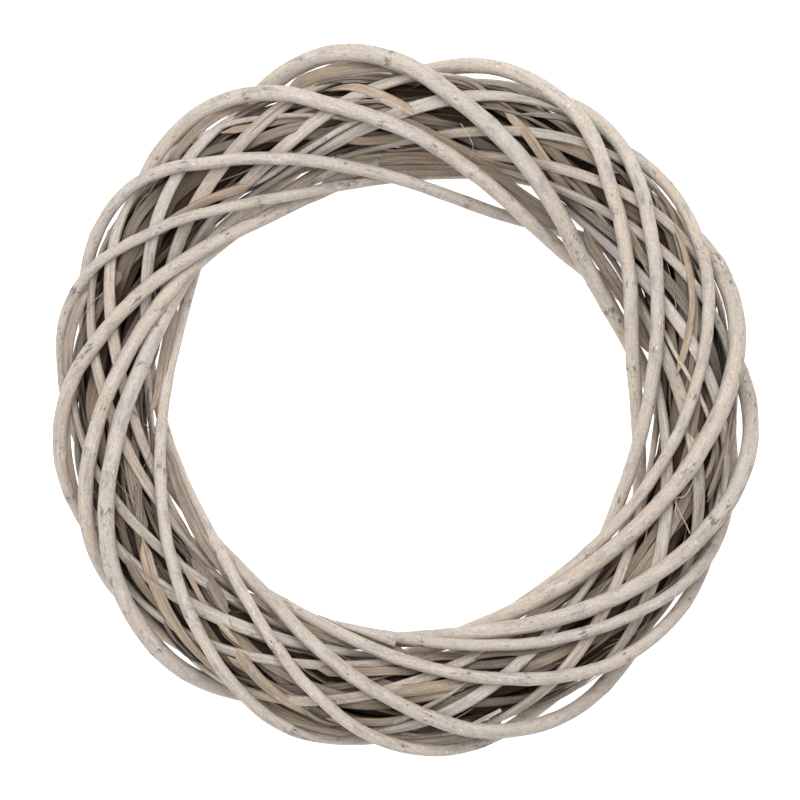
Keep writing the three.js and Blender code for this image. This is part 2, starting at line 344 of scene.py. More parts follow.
def cane_finish(name, straw, grey, dark, wash, smudge, streak, edge_shade, mottle, fleck, chip, relief):
    """How every cane here is coloured: straw to weathered grey in patches, with a paler wash, dark
    lengthwise streaks, mottling, dark flecks and pale chips, painted shade towards its side edges, and
    painted shade that makes it darker the deeper it lies."""
    finish = bpy.data.materials.new(name)
    finish.use_nodes = True
    tree = finish.node_tree
    shader = tree.nodes["Principled BSDF"]
    start = Wire(tree)

    def kept(attribute, out="Fac"):
        return start.node("ShaderNodeAttribute", {"attribute_name": attribute}, {}, out)

    grain = kept("grain", "Vector")
    scar = kept("scar")
    painted_depth_shade = kept("painted_depth_shade")

    patches = noise(grain, (130, 130, 30), 4.0)
    smudges = noise(grain, (260, 260, 90), 5.0, 0.65)
    washes = noise(grain, (380, 380, 95), 4.0, 0.6)
    streaks = noise(grain, (1250, 1250, 30), 4.0, 0.65)
    fibres = noise(grain, (3200, 3200, 55), 2.0, 0.7)
    specks = noise(grain, (1500, 1500, 600), 4.0, 0.75)
    spots = noise(grain, (620, 620, 240), 4.0, 0.7)
    clusters = noise(grain, (130, 130, 50), 2.0, 0.5)
    nicks = noise(grain, (620, 620, 330), 2.0, 0.5)

    greyness = ramp(patches * 0.9 + kept("tint") * 0.75 - 0.3, 0.25, 0.75)
    colour = mixed(greyness, straw, grey)
    colour = mixed(ramp(washes, 0.5, 0.68) * wash, colour, WASH_COLOUR)
    colour = mixed(ramp(smudges, 0.52, 0.65) * smudge, colour, SMUDGE_COLOUR)
    darkness = ramp(streaks * 0.72 + fibres * 0.28, 0.55, 0.3) * streak
    colour = mixed(darkness, colour, dark)
    # Painted shade: darker towards the cane's side edges, where it meets its neighbours.
    colour = mixed(ramp(kept("edge") + streaks * 0.3, 0.98, 1.18) * edge_shade, colour, dark)
    flecks = ramp(spots + scar * 0.05, 0.55, 0.64) * ramp(clusters + scar * 0.22, 0.5, 0.64) * fleck
    colour = mixed(flecks, colour, dark)
    chips = ramp(nicks, 0.685, 0.72) * ramp(clusters + scar * 0.1, 0.45, 0.6) * chip
    colour = mixed(chips, colour, CHIP_COLOUR)
    shade = kept("shade") * (1 - (specks - 0.5) * mottle)
    colour = scaled(colour, shade)
    # Painted shade: the deeper the cane lies in the ring, the darker and browner its colour.
    colour = mixed(painted_depth_shade, colour, vector_maths("MULTIPLY", colour, DEPTH_SHADE_TINT))
    tree.links.new(colour.socket, shader.inputs["Base Color"])
    tree.links.new((0.7 + specks * 0.15).socket, shader.inputs["Roughness"])
    shader.inputs["Specular IOR Level"].default_value = 0.25
    height = streaks * 0.5 + fibres * 0.4 + specks * 0.5 - flecks * 0.4 + chips * 0.3
    bump = start.node("ShaderNodeBump", {}, {"Strength": relief, "Distance": 0.4 * MM, "Height": height})
    tree.links.new(bump.socket, shader.inputs["Normal"])
    return finish


# The core canes' near-black colour is painted shade for the deep middle of the ring.
core_shade_finish = cane_finish(
    "dark_core_cane",
    straw=(0.15, 0.115, 0.085, 1),
    grey=(0.19, 0.16, 0.135, 1),
    dark=(0.04, 0.032, 0.026, 1),
    wash=0.1,
    smudge=0.0,
    streak=0.8,
    edge_shade=0.0,
    mottle=0.5,
    fleck=0.6,
    chip=0.2,
    relief=0.6,
)
for hoop in range(HOOPS):
    start_azimuth = hoop * CORE_START_STEP
    last_azimuth = start_azimuth + 360 - CORE_END_GAP / 2
    azimuth = np.linspace(start_azimuth + CORE_END_GAP / 2, last_azimuth, CORE_POINTS)
    line = route(azimuth, hoop / HOOPS + azimuth / 360, CORE_PITCH, CORE_RADIUS, CORE_RADIUS)
    line.update(tint=0.2 + 0.2 * hoop, shade=1.0, number=hoop)
    piece = sweep_canes(
        f"core_hoop_cane_{hoop + 1}", [line], core_shade_finish,
        sides=14, squareness=1.0, wrinkle=0.3 * MM, swelling=0.5 * MM,
    )
    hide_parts(f"core_hoop_{hoop + 1}")

# Ring canes: nine split canes laid along the core hoops, which twist together once the other way round.
# They are split from thicker canes, so they show as wide flat strips with the fibre running lengthwise.
RING_WIDTHS = (6, 5.2, 5.6, 4.6, 6.2, 5, 5.8, 4.8, 5.4)  # mm
RING_START_STEP = 137.5
RING_END_GAP = 2.4
RING_POINTS = 330
RING_ROLL = 0.12  # radians
RING_ROLL_WAVES = 3.3
RING_THICKNESS = 2.45 * MM
RING_HEIGHT = CORE_PITCH + CORE_RADIUS + 0.8 * MM + RING_THICKNESS / 2

fibre_finish = cane_finish(
    "split_cane_fibre",
    straw=(0.44, 0.335, 0.24, 1),
    grey=(0.385, 0.32, 0.26, 1),
    dark=(0.11, 0.088, 0.07, 1),
    wash=0.3,
    smudge=0.15,
    streak=0.95,
    edge_shade=0.75,
    mottle=0.6,
    fleck=0.5,
    chip=0.3,
    relief=0.7,
)
draw = random.Random(5)
threaded_round = []
for index, width in enumerate(RING_WIDTHS):
    start_azimuth = index * RING_START_STEP
    last_azimuth = start_azimuth + 360 - RING_END_GAP / 2
    azimuth = np.linspace(start_azimuth + RING_END_GAP / 2, last_azimuth, RING_POINTS)
    lay = index / len(RING_WIDTHS) - azimuth / 360
    roll = RING_ROLL * np.sin(np.radians(azimuth) * RING_ROLL_WAVES + index)
    line = route(azimuth, lay, RING_HEIGHT, width / 2 * MM, RING_THICKNESS / 2, roll=roll)
    line.update(tint=draw.uniform(0.1, 0.6), shade=draw.uniform(0.75, 1.0), number=draw.uniform(0, 90))
    piece = sweep_canes(
        f"ring_cane_split_{index + 1}", [line], fibre_finish,
        sides=14, squareness=0.7, wrinkle=0.4 * MM, swelling=0.5 * MM,
    )
    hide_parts(f"ring_cane_{index + 1}")
    threaded_round.append(line)

# Under canes and cross canes: split canes wound over the ring canes with their grey bark side out,
# first in the outer canes' sense and then against it. Each winding passes its crowns, which are
# azimuths in the order of their place round the ring, with a fixed stride.
UNDER_CANES = ((3, 6.4), (3, 5.0), (3, 5.8), (4, 5.4))  # wraps, width in mm
UNDER_CROWNS = (17, 40, 60, 92, 115, 148, 176, 206, 224, 241, 275, 303, 334)
UNDER_THICKNESS = 2.4 * MM
UNDER_HEIGHT = RING_HEIGHT + RING_THICKNESS / 2 + 1.15 * MM + UNDER_THICKNESS / 2
CROSS_CANES = ((3, 6.2), (2, 5.2), (2, 7.0), (3, 5.6), (2, 6.6), (2, 4.8), (2, 6.0), (2, 6.8))
CROSS_CROWNS = (11.6, 34, 49.5, 68, 89, 108, 127, 145, 168, 181, 204, 222, 239, 262, 287.6, 310, 331, 351)
CROSS_THICKNESS = 2.8 * MM
CROSS_HEIGHT = UNDER_HEIGHT + UNDER_THICKNESS / 2 + 0.75 * MM + CROSS_THICKNESS / 2
CROSS_TOP = CROSS_HEIGHT + CROSS_THICKNESS / 2
SPLIT_FIRST_LAY = 0.76
SPLIT_END_GAP = 0.012
SPLIT_POINTS = 150  # to a wrap
SPLIT_ROLL = 0.2  # radians
SPLIT_ROLL_WAVES = 0.7

split_bark_finish = cane_finish(
    "split_cane_bark_side",
    straw=(0.56, 0.46, 0.36, 1),
    grey=(0.545, 0.483, 0.425, 1),
    dark=(0.16, 0.135, 0.11, 1),
    wash=0.5,
    smudge=0.45,
    streak=0.75,
    edge_shade=0.6,
    mottle=1.1,
    fleck=0.7,
    chip=0.6,
    relief=0.6,
)


def between(before, start, end, after, share):
    """A curve through four neighbouring values, between the middle two."""
    slope = (end - before) / 2
    next_slope = (after - start) / 2
    rise = end - start
    bend = 3 * rise - 2 * slope - next_slope
    twist = slope + next_slope - 2 * rise
    return start + share * (slope + share * (bend + share * twist))


def make_winding(marks, stride, mark_lay, ease):
    """A winding that passes the marks one after another with this stride, each at the lay mark_lay. The
    ease is how much more slowly it travels at the rim than at the hole."""
    sense = np.sign(stride)
    mean_travel = 360 * abs(stride) / len(marks)
    passed = np.array(marks)[(np.arange(-2, len(marks) + 3) * stride) % len(marks)]
    steps = sense * ((sense * np.diff(passed)) % 360)
    travelled = passed[0] + np.concatenate([[0], np.cumsum(steps)])

    def azimuth_at(lay):
        wrap = np.floor(lay - mark_lay).astype(int)
        near = [travelled[wrap + 2 + step] for step in (-1, 0, 1, 2)]
        even = between(*near, lay - mark_lay - wrap)
        eased = np.sin(TURN * lay) - math.sin(TURN * mark_lay)
        return even - sense * ease * mean_travel * eased / TURN

    return azimuth_at


for layer, canes, crowns, stride, ease, height, thickness, tints in (
    ("under", UNDER_CANES, UNDER_CROWNS, -5, 0.18, UNDER_HEIGHT, UNDER_THICKNESS, (0.1, 0.7)),
    ("cross", CROSS_CANES, CROSS_CROWNS, 7, 0.22, CROSS_HEIGHT, CROSS_THICKNESS, (0.35, 1.0)),
):
    winding = make_winding(crowns, stride, 0.25, ease)
    first_wrap = 0
    for index, (wraps, width) in enumerate(canes):
        first_lay = first_wrap + SPLIT_FIRST_LAY - 1
        lay = np.linspace(first_lay, first_lay + wraps - SPLIT_END_GAP, wraps * SPLIT_POINTS)
        roll = SPLIT_ROLL * np.sin(TURN * lay * SPLIT_ROLL_WAVES + 2 * index)
        line = route(winding(lay), lay, height, width / 2 * MM, thickness / 2, roll=roll)
        line.update(tint=draw.uniform(*tints), shade=draw.uniform(0.88, 1.08), number=draw.uniform(0, 90))
        piece = sweep_canes(
            f"{layer}_cane_split_{index + 1}", [line], split_bark_finish,
            sides=16, squareness=0.75, wrinkle=0.35 * MM, swelling=0.45 * MM,
        )
        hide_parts(f"{layer}_cane_{index + 1}")
        threaded_round.append(line)
        first_wrap += wraps

# Outer canes: seven whole canes with their greyed bark on, wound round the outside one beside another,
# which hold all the others together. Where one ends at the back, the next starts beside it.

# Each row is one wrap: where it stands at the rim, over the crown and in the hole, in degrees, with how
# far it is off an even course halfway between each two of these, and how far its outside reaches from
# the wreath's axis at the rim and at the hole, in millimetres. The row's order is rim, off, crown, off,
# hole, reach, reach.
WRAPS = np.array([
    (355.4, -1.9, 322, 0.1, 275.5, 175.8, 111.9),
    (19.8, 0.1, 349.2, 3.6, 295.8, 173.8, 111.6),
    (39.8, -2.4, 4.9, -2.1, 307, 169.8, 110.8),
    (58.5, 1.5, 32.5, 7, 342.2, 172.8, 112.8),
    (73.5, -3.2, 44.9, 5.6, 5.9, 175.8, 110.8),
    (103.5, -0.8, 74.7, 6.7, 31.5, 180.7, 107.5),
    (127.3, -1.6, 99, 4.8, 49.1, 179.2, 104.5),
    (148.5, 3.2, 125.8, 14.3, 71.2, 176.7, 100.8),
    (166.6, 2.8, 145.6, 20.2, 100, 175.3, 108.6),
    (190.7, -1, 162.6, 11.5, 115.9, 174.8, 109),
    (209, 0.4, 177.7, 2.8, 128, 171.8, 114.5),
    (227.3, -5.3, 189.5, -4, 138.7, 175.3, 119.5),
    (253.5, 1.1, 222, 5.6, 168.3, 172.8, 113.8),
    (279.4, -2, 250.1, 11.9, 208.3, 174.8, 111.5),
    (299, -3.1, 267.3, 6.7, 226.1, 176.2, 111.3),
    (325.4, -3.5, 291.3, 2.7, 242.6, 172.8, 112),
    (337.9, 1.9, 310.2, 8, 260.8, 171.3, 111.3),
])
RIM, EARLY, CROWN, LATE, HOLE, RIM_REACH, HOLE_REACH = WRAPS.T
# wraps, radius where the cane starts and where it ends, in mm
OUTER_CANES = (
    (2, 4.3, 3.3),
    (3, 4.6, 2.6),
    (3, 4.3, 2.6),
    (2, 4.0, 2.5),
    (2, 4.8, 3.0),
    (2, 4.1, 2.8),
    (3, 3.2, 2.6),
)
OUTER_STRIDE = -8
OUTER_EASE = 0.38
OUTER_GAP = 0.75 * MM
OUTER_FIRST_LAY = -0.225
OUTER_LAST_LAY = 0.86
LAP = OUTER_LAST_LAY - OUTER_FIRST_LAY - 1
LAP_BLEND = 0.12
LAP_GAP = 0.2 * MM
BACK_DEPTH = 30.1 * MM
BACK_SAG = 2.6 * MM
BACK_SWING = 10
SOLID_SIDES = 8  # of the solids' tubes, whose flats lie on the surface
SECTION_GROWTH = math.sqrt(TURN / SOLID_SIDES / math.sin(TURN / SOLID_SIDES))
SCAR_LENGTH = 2.2 * MM
FIRST_SCAR = (10, 60)  # mm from the start
SCAR_SPACING = (35, 90)  # mm
SCAR_SWELLING = (0.02, 0.08)
OUTER_POINTS = 300  # to a wrap
OUTER_BENDS = ((11.3, 0.12 * MM), (26.7, 0.07 * MM))  # slight bends: waves to a wrap, and their reach

outer_winding = make_winding(RIM, OUTER_STRIDE, 0.0, OUTER_EASE)


def wrap_row(wrap):
    return (wrap * OUTER_STRIDE) % len(WRAPS)


def outer_azimuth(lay):
    wrap = np.floor(lay).astype(int)
    row = wrap_row(wrap)

    def off_course(azimuth, at):
        return (azimuth - outer_winding(wrap + at) + 180) % 360 - 180

    at_crown = off_course(CROWN[row], 0.25)
    at_hole = off_course(HOLE[row], 0.5)
    none = np.zeros(len(lay))
    front = [EARLY[row], at_crown, LATE[row], at_hole, at_hole / 2]
    drawn = [none, none, *front, none, none, none, EARLY[wrap_row(wrap + 1)]]
    eighth = np.floor((lay - wrap) * 8).astype(int)
    near = [np.choose(eighth + step, drawn) for step in range(4)]
    drawn_off = between(*near, (lay - wrap) * 8 - eighth)
    return outer_winding(lay) + drawn_off + BACK_SWING * np.maximum(0, -np.sin(TURN * lay)) ** 2


def outer_height(lay, radius):
    resting = CROSS_TOP + OUTER_GAP + radius
    towards_rim = np.cos(TURN * lay)
    towards_back = np.maximum(0, -np.sin(TURN * lay))
    to_ring = ring_radius(outer_azimuth(lay))
    rim_height = RIM_REACH[wrap_row(np.floor(lay + 0.5).astype(int))] * MM - radius - to_ring
    hole_height = to_ring - HOLE_REACH[wrap_row(np.floor(lay).astype(int))] * MM - radius
    proud = np.where(towards_rim > 0, rim_height, hole_height) - resting
    to_flat = radius * SECTION_GROWTH * math.cos(math.pi / SOLID_SIDES)
    sag = np.clip(BACK_DEPTH - to_flat - resting, 0, BACK_SAG)
    return resting + np.maximum(0, proud) * towards_rim**2 + sag * towards_back**4


bark_finish = cane_finish(
    "greyed_bark",
    straw=(0.63, 0.525, 0.425, 1),
    grey=(0.575, 0.51, 0.455, 1),
    dark=(0.17, 0.15, 0.135, 1),
    wash=0.6,
    smudge=0.7,
    streak=0.3,
    edge_shade=0.0,
    mottle=1.2,
    fleck=0.85,
    chip=0.9,
    relief=0.6,
)
outer_lines = []
first_wrap = 0
for index, (wraps, first_radius, last_radius) in enumerate(OUTER_CANES):
    first_lay = first_wrap + OUTER_FIRST_LAY
    last_lay = first_wrap + wraps - 1 + OUTER_LAST_LAY
    lay = np.linspace(first_lay, last_lay, round((last_lay - first_lay) * OUTER_POINTS))
    radius = np.interp(lay, (first_lay, last_lay), (first_radius, last_radius)) * MM
    to_end = smooth(1 - (last_lay - lay - LAP) / LAP_BLEND)
    from_start = smooth(1 - (lay - first_lay - LAP) / LAP_BLEND)
    aside = (radius * SECTION_GROWTH + LAP_GAP) * (to_end - from_start)
    for waves, bend in OUTER_BENDS:
        aside = aside + bend * np.sin(TURN * (lay * waves + draw.random()))
    line = route(outer_azimuth(lay), lay, outer_height(lay, radius), radius, radius, aside=aside)

    # Leaf scars, where the cane swells a little on its way past.
    scar_at = draw.uniform(*FIRST_SCAR) * MM
    while scar_at < line["run"][-1]:
        past = (line["run"] - scar_at) / SCAR_LENGTH
        line["scar"] += np.exp(-(past**2))
        swollen = 1 + draw.uniform(*SCAR_SWELLING) * np.exp(-((past / 2) ** 2))
        line["half_width"] *= swollen
        line["half_depth"] *= swollen
        scar_at += draw.uniform(*SCAR_SPACING) * MM
    line.update(tint=draw.uniform(0.3, 0.75), shade=draw.uniform(0.95, 1.05), number=draw.uniform(0, 90))
    piece = sweep_canes(
        f"outer_cane_bark_{index + 1}", [line], bark_finish,
        sides=24, squareness=1.0, wrinkle=0.16 * MM, swelling=0.6 * MM,
    )
    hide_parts(f"outer_cane_{index + 1}")
    outer_lines.append(line)
    first_wrap += wraps

# Strips and thin canes that fill the ring between the others. Each is a length of a turn or so, pushed
# over and under what is already there along the easiest way. The space round the ring is kept as cells
# of azimuth, lay and height, and each strip takes the cells that it passes through.
AZIMUTH_CELLS = 720
LAY_CELLS = 100
LOWEST_HEIGHT = 11 * MM
LEVEL = 0.5 * MM
LEVELS = 21
TRIAL_HEIGHT = 17 * MM
BLOCKED_COST = 30.0
CLIMB_COST = 1.2
EASY_OFFSET = 2.5 * MM
SMOOTHED_OVER = 7  # points
level_heights = LOWEST_HEIGHT + LEVEL * (np.arange(LEVELS) + 0.5)
taken = np.zeros((AZIMUTH_CELLS, LAY_CELLS, LEVELS), bool)
TAKEN_ACROSS = 9  # places across a strip, and through it, whose cells it takes
TAKEN_THROUGH = 7
TRIED_ACROSS = 7  # places across a strip at which its way is tried


def cells_at(points):
    x, y, z = (points - ring_middle).T
    azimuth = np.degrees(np.arctan2(y, x)) % 360
    beyond = np.hypot(x, y) - ring_radius(azimuth)
    lay = np.arctan2(z, beyond) / TURN % 1
    azimuth_cell = (azimuth * AZIMUTH_CELLS / 360).astype(int) % AZIMUTH_CELLS
    return azimuth_cell, (lay * LAY_CELLS).astype(int) % LAY_CELLS, np.hypot(beyond, z)


def take_cells(line):
    for share in np.linspace(-1, 1, TAKEN_ACROSS):
        side = line["middle"] + line["across"] * (share * line["half_width"])[:, None]
        azimuth_cell, lay_cell, height = cells_at(side)
        for depth_share in np.linspace(-1, 1, TAKEN_THROUGH):
            level = ((height + depth_share * line["half_depth"] - LOWEST_HEIGHT) / LEVEL).astype(int)
            inside = (level >= 0) & (level < LEVELS)
            for more in (0, 1):
                taken[(azimuth_cell[inside] + more) % AZIMUTH_CELLS, lay_cell[inside], level[inside]] = True


def easiest_heights(azimuth, lay, half_width, half_depth, wanted):
    """The heights at which a strip on this course passes between what is there, near the wanted ones."""
    trial = route(azimuth, lay, TRIAL_HEIGHT, half_width, half_depth)
    blocked = np.zeros((len(lay), LEVELS), bool)
    for share in np.linspace(-1, 1, TRIED_ACROSS):
        azimuth_cell, lay_cell, _ = cells_at(trial["middle"] + trial["across"] * half_width * share)
        blocked |= taken[azimuth_cell, lay_cell]
    spread = blocked.copy()
    for shift in range(1, round(half_depth / LEVEL) + 1):
        spread[:, shift:] |= blocked[:, :-shift]
        spread[:, :-shift] |= blocked[:, shift:]
    cost = BLOCKED_COST * spread + ((level_heights[None, :] - wanted[:, None]) / EASY_OFFSET) ** 2
    levels = np.arange(LEVELS)
    climb = CLIMB_COST * (levels[:, None] - levels[None, :]) ** 2
    total = cost[0]
    came_from = []
    for row in cost[1:]:
        through = total[:, None] + climb
        came_from.append(through.argmin(axis=0))
        total = through.min(axis=0) + row
    chosen = [total.argmin()]
    for back in reversed(came_from):
        chosen.append(back[chosen[-1]])
    heights = np.pad(level_heights[chosen[::-1]], SMOOTHED_OVER // 2, mode="edge")
    return np.convolve(heights, np.ones(SMOOTHED_OVER) / SMOOTHED_OVER, mode="valid")


for line in threaded_round + outer_lines:
    take_cells(line)


STRIP_STEP = 2.6 * MM
TUCKED_IN = 4.5 * MM  # how far a strip's ends go in
HELD_IN = 4.5 * MM  # how far a strip is held in at the rim and the hole


def away_from_ends(share, part):
    """From 0 at both ends of a strip to 1 past this part of its length."""
    return smooth(share / part) * smooth((1 - share) / part)


def strip_points(travel, turns):
    """How many points a strip needs that travels so far round the ring and its section."""
    length = math.hypot(RING_RADIUS * math.radians(travel), TRIAL_HEIGHT * TURN * turns)
    return max(20, round(length / STRIP_STEP))


def threaded_strip(azimuth, lay, wanted, half_width, half_depth, narrowing, roll):
    """A strip on this course, threaded between what is there and tapered to both of its ends."""
    share = np.linspace(0, 1, len(lay))
    height = easiest_heights(azimuth, lay, half_width, half_depth, wanted)
    at_ends = 1 - away_from_ends(share, 0.1)
    taper = (1 - narrowing * share) * (1 - 0.9 * at_ends)
    line = route(azimuth, lay, height, half_width * taper, half_depth * (0.6 + 0.4 * taper), roll=roll)
    take_cells(line)
    return line


# The broad strips that show most, split from thick canes and threaded between the others one by one. Each
# row gives the azimuth and lay of both ends, how far the middle bows off the straight course in turns of
# lay, the half width in mm, the tint and the shade.
BROAD_STRIPS = (
    (88, 0.27, 104.5, 0.07, 0, 3.2, 0.05, 1.15),
    (46.5, 0.445, 71.5, 0.18, 0, 2.8, 0.1, 1.1),
    (64.5, 0.46, 92, 0.285, 0.015, 3.4, 0.05, 1.04),
    (83, 0.44, 111, 0.40, 0, 3.4, 0.35, 0.83),
    (79, 0.40, 108, 0.35, 0, 3.1, 0.3, 0.77),
    (86, 0.475, 113, 0.455, 0, 3.1, 0.35, 0.88),
    (102.5, 0.24, 124, 0.13, 0, 3.1, 0.05, 1.1),
    (6, 0.33, 34, 0.12, -0.02, 1.9, 0.12, 1.04),
    (20, 0.165, 45, 0.03, -0.02, 1.3, 0.1, 0.94),
    (22, 0.145, 49, 0.0, -0.02, 1.1, 0.2, 0.88),
    (26, 0.18, 48, 0.06, -0.02, 1.2, 0.0, 0.99),
    (47, 0.15, 65, 0.24, 0, 3.4, 0.05, 1.04),
    (125, 0.385, 146, 0.255, 0, 2.7, 0.1, 0.99),
    (198, 0.21, 218, 0.1, 0, 2.7, 0.1, 1.1),
    (207, 0.255, 243, 0.09, -0.02, 3.4, 0.05, 1.1),
    (213.5, 0.345, 236, 0.26, 0, 1.8, 0.05, 1.15),
    (187, 0.325, 207, 0.275, 0, 3.4, 0.3, 0.88),
    (200, 0.46, 227, 0.47, 0, 3.6, 0.15, 1.04),
    (235, 0.24, 259, 0.07, 0, 3.2, 0.1, 1.1),
    (235, 0.2, 253, 0.16, 0, 1.8, 0.2, 0.94),
    (265, 0.275, 289, 0.3, 0, 3.4, 0.2, 0.94),
    (269, 0.24, 283, 0.28, 0, 2.7, 0.1, 1.04),
    (235, 0.425, 257, 0.405, 0, 3.4, 0.25, 0.94),
    (320, 0.285, 345, 0.232, 0, 3.4, 0.6, 1.04),
    (273, 0.175, 296, 0.3, 0, 3.4, 0.9, 1.15),
    (342, 0.13, 358, 0.07, 0, 1.5, 0.2, 0.88),
    (343, 0.16, 359, 0.1, 0, 1.3, 0.2, 0.83),
    (346, 0.19, 361, 0.12, 0, 1.3, 0.3, 0.83),
    (210, 0.47, 230, 0.33, 0, 3.6, 0.5, 0.79),
)
BROAD_HEIGHT = 17.6 * MM
BROAD_HALF_DEPTH = 0.6 * MM
BROAD_TUCKED_IN = 3.6 * MM
BROAD_NARROWING = 0.2
BROAD_ROLL = (0.1, 0.3)  # radians
BROAD_ROLL_WAVES = 0.6


def lay_broad_strips(name, rows):
    lines = []
    for first_azimuth, first_lay, last_azimuth, last_lay, bow, half_width, tint, shade in rows:
        share = np.linspace(0, 1, strip_points(last_azimuth - first_azimuth, last_lay - first_lay))
        azimuth = first_azimuth + (last_azimuth - first_azimuth) * share
        lay = first_lay + (last_lay - first_lay) * share + bow * np.sin(math.pi * share)
        wanted = BROAD_HEIGHT - (1 - away_from_ends(share, 0.2)) * BROAD_TUCKED_IN
        roll_to = draw.uniform(*BROAD_ROLL)
        roll = roll_to * np.sin(TURN * share * BROAD_ROLL_WAVES + draw.uniform(0, TURN))
        half_width = half_width * MM
        line = threaded_strip(azimuth, lay, wanted, half_width, BROAD_HALF_DEPTH, BROAD_NARROWING, roll)
        line.update(tint=tint, shade=shade, number=draw.uniform(0, 90))
        lines.append(line)
    piece = sweep_canes(
        name, lines, fibre_finish,
        sides=14, squareness=0.65, wrinkle=0.35 * MM, swelling=0.35 * MM,
    )


lay_broad_strips("broad_strips", BROAD_STRIPS)

# Slivers, strips and thin canes that fill the rest, torn or split from the same rattan and pushed in at
# random. Each row gives a name, a count and the range of each of these: degrees of azimuth to a turn of
# lay, turns of lay, half width and half depth in mm, wanted height in mm, tint and shade.
STRIP_KINDS = (
    ("ring_slivers", 70, None, (0.03, 0.13),
     (0.5, 1.4), (0.3, 0.5), (13.0, 18.0), (0.0, 0.5), (0.45, 0.95)),
    ("ring_strips", 34, None, (0.08, 0.3),
     (2.2, 5.0), (0.45, 0.8), (12.0, 16.5), (0.0, 0.6), (0.5, 0.85)),
    ("under_strips", 14, (-165, -95), (0.5, 1.0),
     (1.6, 3.6), (0.5, 0.8), (12.5, 16.5), (0.1, 0.8), (0.5, 0.9)),
    ("cross_strips", 16, (95, 175), (0.5, 1.1),
     (1.6, 3.8), (0.5, 0.8), (12.5, 17.0), (0.2, 1.0), (0.6, 0.95)),
    ("thin_under_canes", 4, (-170, -110), (0.5, 1.0),
     (1.1, 1.8), None, (12.5, 16.5), (0.3, 0.9), (0.75, 0.95)),
    ("thin_cross_canes", 6, (110, 175), (0.6, 1.2),
     (1.2, 2.0), None, (14.0, 18.0), (0.3, 0.9), (0.8, 1.0)),
)
ALONG_RING = (420, 900)  # degrees of azimuth to a turn of lay, for those laid along the ring either way
WAVER = 1.5  # degrees
STRIP_EASE = 0.18
STRIP_NARROWING = 0.35
STRIP_ROLL = (0.05, 0.4)  # radians
for name, count, travels, turns, half_widths, half_depths, heights, tints, shades in STRIP_KINDS:
    lines = []
    for number in range(count):
        if travels:
            travel = draw.uniform(*travels)
        else:
            travel = draw.choice((-1, 1)) * draw.uniform(*ALONG_RING)
        wide = draw.uniform(*half_widths) * MM
        deep = draw.uniform(*half_depths) * MM if half_depths else wide
        long = draw.uniform(*turns)
        first_lay = draw.random()
        lay = np.linspace(first_lay, first_lay + long, strip_points(travel * long, long))
        first_azimuth = 360 * (number + draw.random()) / count
        waver = WAVER * np.sin(TURN * lay * draw.uniform(0.6, 1.4) + draw.uniform(0, TURN))
        eased = STRIP_EASE * travel * np.sin(TURN * lay) / TURN if travels else 0
        azimuth = first_azimuth + travel * (lay - first_lay) - eased + waver
        share = np.linspace(0, 1, len(lay))
        from_ends = away_from_ends(share, 0.14)
        held = HELD_IN * np.cos(TURN * lay) ** 2
        wanted = draw.uniform(*heights) * MM - (1 - from_ends) * TUCKED_IN - held
        roll_to = draw.uniform(*STRIP_ROLL)
        roll = roll_to * np.sin(TURN * lay * draw.uniform(0.5, 1.5) + draw.uniform(0, TURN))
        line = threaded_strip(azimuth, lay, wanted, wide, deep, STRIP_NARROWING, roll)
        line.update(tint=draw.uniform(*tints), shade=draw.uniform(*shades), number=draw.uniform(0, 90))
        lines.append(line)
    if half_depths:
        piece = sweep_canes(
            name, lines, fibre_finish,
            sides=12, squareness=0.65, wrinkle=0.3 * MM, swelling=0.3 * MM,
        )
    else:
        piece = sweep_canes(
            name, lines, bark_finish,
            sides=12, squareness=1.0, wrinkle=0.1 * MM, swelling=0.3 * MM,
        )

# The last broad strips, split like the first ones and pushed along the ring into the gaps that are still
# open, most of them at the lower left. The rows are written as those of the first broad strips.
LATE_STRIPS = (
    (213, 0.245, 250, 0.4, 0, 3.0, 0.1, 0.9),
    (229, 0.28, 264, 0.22, 0, 3.0, 0.15, 0.8),
    (252, 0.31, 274, 0.385, 0, 3.0, 0.2, 0.8),
    (253, 0.25, 276, 0.30, 0, 3.2, 0.1, 0.9),
    (254, 0.195, 275, 0.235, 0, 3.0, 0.2, 0.75),
    (256, 0.13, 276, 0.17, 0, 2.6, 0.3, 0.8),
    (232, 0.11, 256, 0.05, 0, 2.6, 0.3, 0.8),
    (216, 0.38, 238, 0.42, 0, 2.8, 0.2, 0.75),
    (207, 0.16, 237, 0.13, 0, 2.4, 0.3, 0.7),
    (156, 0.46, 192, 0.45, 0, 3.6, 0.4, 0.65),
    (340, 0.3, 368, 0.24, 0, 2.4, 0.3, 0.6),
    (352, 0.22, 378, 0.27, 0, 2.2, 0.4, 0.55),
    (312, 0.33, 338, 0.3, 0, 2.6, 0.2, 0.6),
)
lay_broad_strips("late_strips", LATE_STRIPS)

# Loose fibres: hairs of cane torn up along the split edges, which bridge the gaps between the strips.
# They still hang on at both ends, and arch up a little between them.
FIBRES = 150
FIBRE_POINTS = 14
FIBRE_TRAVEL = (4, 15)  # degrees
FIBRE_SLANT = 0.12  # turns of lay
FIBRE_CURVE = 0.03  # turns of lay
FIBRE_ARCH = (0.2, 2.2)  # mm
FIBRE_HALF_THICKNESS = (0.18, 0.4)  # mm
FIBRE_NARROWING = 0.6


def surface_height(azimuth, lay):
    """How high what is there reaches at these places on the ring."""
    azimuth_cell, lay_cell, _ = cells_at(on_ring(azimuth, lay, TRIAL_HEIGHT))
    column = taken[azimuth_cell, lay_cell] & (level_heights < CROSS_TOP)
    highest = LEVELS - 1 - column[:, ::-1].argmax(axis=1)
    return np.where(column.any(axis=1), level_heights[highest], LOWEST_HEIGHT)


